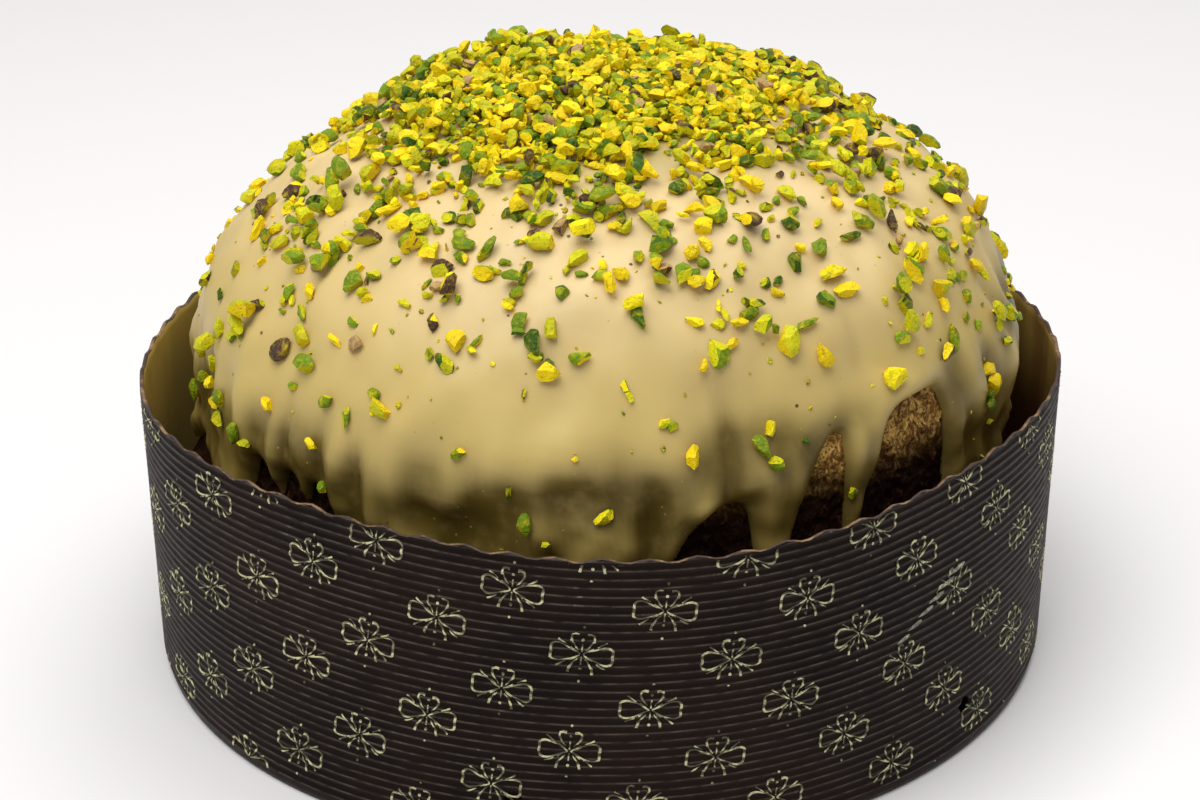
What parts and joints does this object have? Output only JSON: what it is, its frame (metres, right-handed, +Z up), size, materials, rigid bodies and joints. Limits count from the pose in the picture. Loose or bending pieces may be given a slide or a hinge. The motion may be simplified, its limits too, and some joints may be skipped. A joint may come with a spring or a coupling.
{
  "type": "glazed panettone in a paper baking mould",
  "caption": "Low round glazed panettone with chopped pistachios, in a fluted paper baking mould with a wavy rim and a turned-in foot; it stands on the mould.",
  "frame": {"origin": "centre of the mould's foot, on the surface that the mould stands on", "axes": "+Z up along the mould's axis; -Y is the front, where the glaze's partings are on the right; +X is to the right"},
  "size_m": [0.21, 0.21, 0.1372],
  "materials": {
    "mould_paper": "dark brown fluted baking paper with a satin face and a pale gold print",
    "mould_board": "dark brown baking board, matt",
    "crust": "baked brown crust, matt, finely wrinkled and porous",
    "glaze": "set pistachio and white chocolate glaze, cream beige, satin gloss",
    "pistachio": "chopped pistachio kernels, yellow to dark green with some purple-brown skin"
  },
  "bodies": {
    "root": {"mould_wall": "mould_paper", "mould_base": "mould_board", "loaf": "crust", "glaze": "glaze", "pistachio_01": "pistachio", "pistachio_02": "pistachio", "pistachio_03": "pistachio", "pistachio_04": "pistachio", "pistachio_05": "pistachio", "pistachio_06": "pistachio", "pistachio_07": "pistachio", "pistachio_08": "pistachio", "pistachio_09": "pistachio", "pistachio_10": "pistachio", "pistachio_11": "pistachio", "pistachio_12": "pistachio", "pistachio_13": "pistachio", "pistachio_14": "pistachio", "pistachio_15": "pistachio", "pistachio_16": "pistachio", "pistachio_17": "pistachio", "pistachio_18": "pistachio", "pistachio_19": "pistachio", "pistachio_20": "pistachio", "pistachio_21": "pistachio", "pistachio_22": "pistachio", "pistachio_23": "pistachio", "pistachio_24": "pistachio", "pistachio_25": "pistachio", "pistachio_26": "pistachio", "pistachio_27": "pistachio", "pistachio_28": "pistachio", "pistachio_29": "pistachio", "pistachio_30": "pistachio", "pistachio_31": "pistachio", "pistachio_32": "pistachio", "pistachio_33": "pistachio", "pistachio_34": "pistachio", "pistachio_35": "pistachio", "pistachio_36": "pistachio", "pistachio_37": "pistachio", "pistachio_38": "pistachio", "pistachio_39": "pistachio", "pistachio_40": "pistachio", "pistachio_41": "pistachio", "pistachio_42": "pistachio", "pistachio_43": "pistachio", "pistachio_44": "pistachio", "pistachio_45": "pistachio", "pistachio_46": "pistachio", "pistachio_47": "pistachio", "pistachio_48": "pistachio"}
  },
  "joints": []
}
